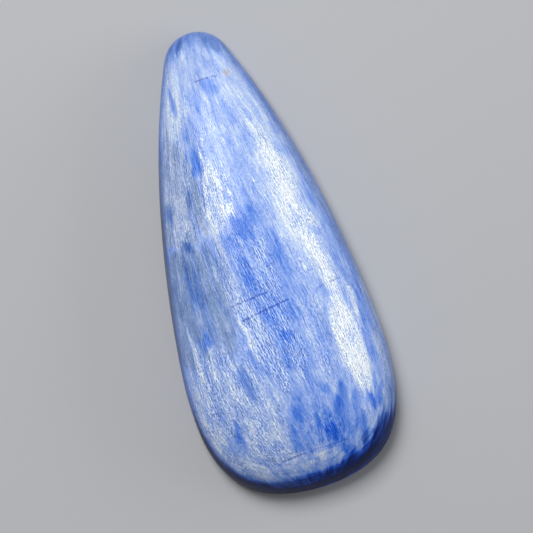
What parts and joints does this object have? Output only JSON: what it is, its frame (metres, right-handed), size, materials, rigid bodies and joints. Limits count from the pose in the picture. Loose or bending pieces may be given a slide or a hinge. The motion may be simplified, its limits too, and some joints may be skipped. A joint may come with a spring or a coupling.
{
  "type": "kyanite cabochon",
  "caption": "Polished pear-shaped kyanite cabochon: a long domed blue stone with a narrow rounded tip, a bevelled edge and a flat back to set or glue.",
  "frame": {"origin": "on the flat back, at the centre of the outline's bounding box", "axes": "+Z out of the dome's top, +Y along the stone towards its narrow tip, +X to the right seen from above"},
  "size_m": [0.0164, 0.038, 0.0068],
  "materials": {
    "kyanite": "polished bladed blue kyanite with pale pearly streaks along its length"
  },
  "bodies": {
    "root": {"cabochon": "kyanite"}
  },
  "joints": []
}
